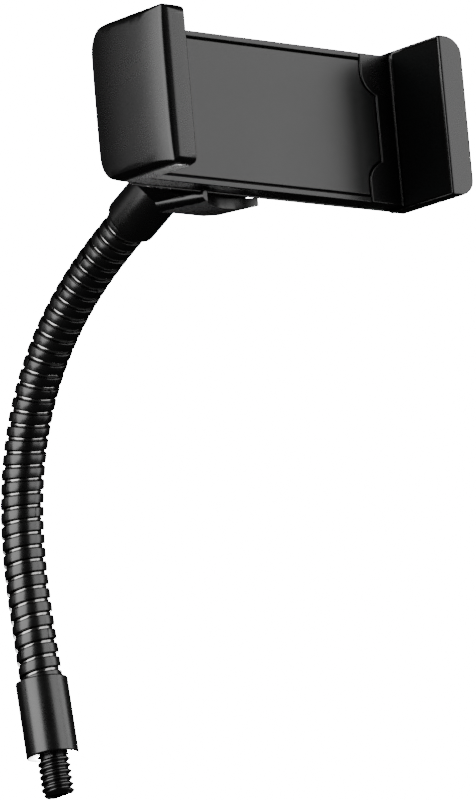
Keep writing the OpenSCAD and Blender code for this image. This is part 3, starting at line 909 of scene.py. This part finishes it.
@dataclass
class Studio:
    """The camera, the soft lights and the pale floor."""

    aim: tuple[float, float, float] = (43.53 * MM, 23.20 * MM, 60.34 * MM)
    distance: float = 1062.55 * MM
    azimuth: float = math.radians(47.006)
    elevation: float = math.radians(-14.867)
    roll: float = math.radians(-9.305)
    lens: float = 246.247
    sensor: float = 36.0
    floor_z: float = -0.35
    floor_r: float = 4.0
    floor_grey: float = 0.05
    floor_glow: float = 9.0
    seen_white: float = 20.0
    dim_light: float = 0.02

    def back(self) -> Vector:
        """Returns the direction from the object to the camera."""
        flat = math.cos(self.elevation)
        return Vector((math.sin(self.azimuth) * flat, -math.cos(self.azimuth) * flat,
                       math.sin(self.elevation)))

    def camera(self) -> None:
        """Makes the camera at the photograph's viewing angle."""
        data = bpy.data.cameras.new("camera")
        data.lens, data.sensor_width, data.sensor_fit = self.lens, self.sensor, "AUTO"
        data.clip_start, data.clip_end = 0.01, 50.0
        camera = bpy.data.objects.new("camera", data)
        bpy.context.scene.collection.objects.link(camera)
        back = self.back()
        side = Vector((0, 0, 1)).cross(back).normalized()
        up = back.cross(side)
        right = math.cos(self.roll) * side + math.sin(self.roll) * up
        top = back.cross(right)
        turn = Matrix((right, top, back)).transposed().to_4x4()
        camera.matrix_world = Matrix.Translation(Vector(self.aim) + self.distance * back) @ turn
        bpy.context.scene.camera = camera

    def softbox(self, name: str, direction: Sequence[float], distance: float, size: tuple[float, float],
                power: float, target: Sequence[float] | None = None, spread: float = 180.0) -> None:
        """A rectangular light that faces the object.

        Args:
            name: The light's name.
            direction: From its target to the light.
            distance: How far away it stands.
            size: Its width and height.
            power: Its power in watts.
            target: The point that it faces, which is the camera's own target if it isn't given.
            spread: The angle of its beam in degrees.
        """
        data = bpy.data.lights.new(name, "AREA")
        data.shape, data.size, data.size_y, data.energy = "RECTANGLE", size[0], size[1], power
        data.spread = math.radians(spread)
        light = bpy.data.objects.new(name, data)
        bpy.context.scene.collection.objects.link(light)
        away = Vector(direction).normalized()
        light.matrix_world = Matrix.Translation(Vector(target or self.aim) + distance * away) @ (
            away.to_track_quat("Z", "Y").to_matrix().to_4x4())

    def heading(self, azimuth: float, elevation: float) -> Vector:
        """Returns a direction, given in degrees from the X axis towards Y and up."""
        flat = math.cos(math.radians(elevation))
        return Vector((math.cos(math.radians(azimuth)) * flat, math.sin(math.radians(azimuth)) * flat,
                       math.sin(math.radians(elevation))))

    def lights(self) -> None:
        """Places the softboxes round the object."""
        self.softbox("arm_softbox", self.heading(14, 2), 1.0, (0.66, 1.3), 8.0)
        self.softbox("front_softbox", self.heading(49, 6), 1.0, (0.5, 1.0), 4.7)
        self.softbox("left_softbox", self.heading(-92, 12), 0.6, (0.55, 0.6), 5.4)
        self.softbox("side_softbox", self.heading(-133, 20), 1.2, (0.32, 0.6), 0.4)
        self.softbox("stud_softbox", self.heading(137, -16), 0.8, (0.08, 0.05), 0.03,
                     (0.0, 0.0, -0.004), 8.0)

    def world(self) -> None:
        """Makes a white surround that lights the object only dimly."""
        world = bpy.data.worlds.new("surround")
        world.use_nodes = True
        bpy.context.scene.world = world
        graph = Graph(world.node_tree)
        path = graph.node("ShaderNodeLightPath")
        seen = Value(graph, path.outputs["Is Camera Ray"])
        strength = seen * (self.seen_white - self.dim_light) + self.dim_light
        shine = graph.node("ShaderNodeBackground", None, {"Color": rgba(1.0), "Strength": strength})
        graph.node("ShaderNodeOutputWorld", None, {"Surface": shine.outputs["Background"]})

    def floor(self) -> None:
        """Makes a pale floor that can be seen from above only."""
        bpy.ops.object.select_all(action="DESELECT")
        bpy.ops.mesh.primitive_circle_add(vertices=96, radius=self.floor_r, fill_type="NGON",
                                          location=(0, 0, self.floor_z))
        floor = bpy.context.object
        floor.name = "floor"
        only(floor)
        bpy.ops.object.transform_apply(location=True, rotation=True, scale=True)
        material = bpy.data.materials.new("pale_floor")
        material.use_nodes = True
        graph = Graph(material.node_tree)
        path = graph.node("ShaderNodeLightPath")
        side = graph.node("ShaderNodeNewGeometry")
        matt = graph.node("ShaderNodeBsdfDiffuse", None, {"Color": rgba(self.floor_grey)})
        clear = graph.node("ShaderNodeBsdfTransparent")
        white = graph.node("ShaderNodeEmission", None, {"Color": rgba(1.0), "Strength": self.floor_glow})
        lit = graph.node("ShaderNodeMixShader", None, {"Fac": path.outputs["Is Camera Ray"],
                                                       1: matt.outputs[0], 2: white.outputs[0]})
        shown = graph.node("ShaderNodeMixShader", None, {"Fac": side.outputs["Backfacing"],
                                                         1: lit.outputs[0], 2: clear.outputs[0]})
        graph.node("ShaderNodeOutputMaterial", None, {"Surface": shown.outputs[0]})
        floor.data.materials.append(material)

    def build(self) -> None:
        """Sets up the whole studio."""
        self.camera()
        self.lights()
        self.world()
        self.floor()
        log.info("studio: camera, softboxes, surround and floor")


def main() -> None:
    """Builds the part and its studio."""
    logging.basicConfig(level=logging.INFO, format="%(message)s")
    bpy.ops.object.select_all(action="DESELECT")
    palette = Palette()
    line = ArmLine()
    Studio().build()
    TurnedParts(line, palette).build()
    FlexibleArm(line, palette).build()
    ClampMouldings(palette).build()
    HiddenParts(palette).build()


if __name__ == "__main__":
    main()
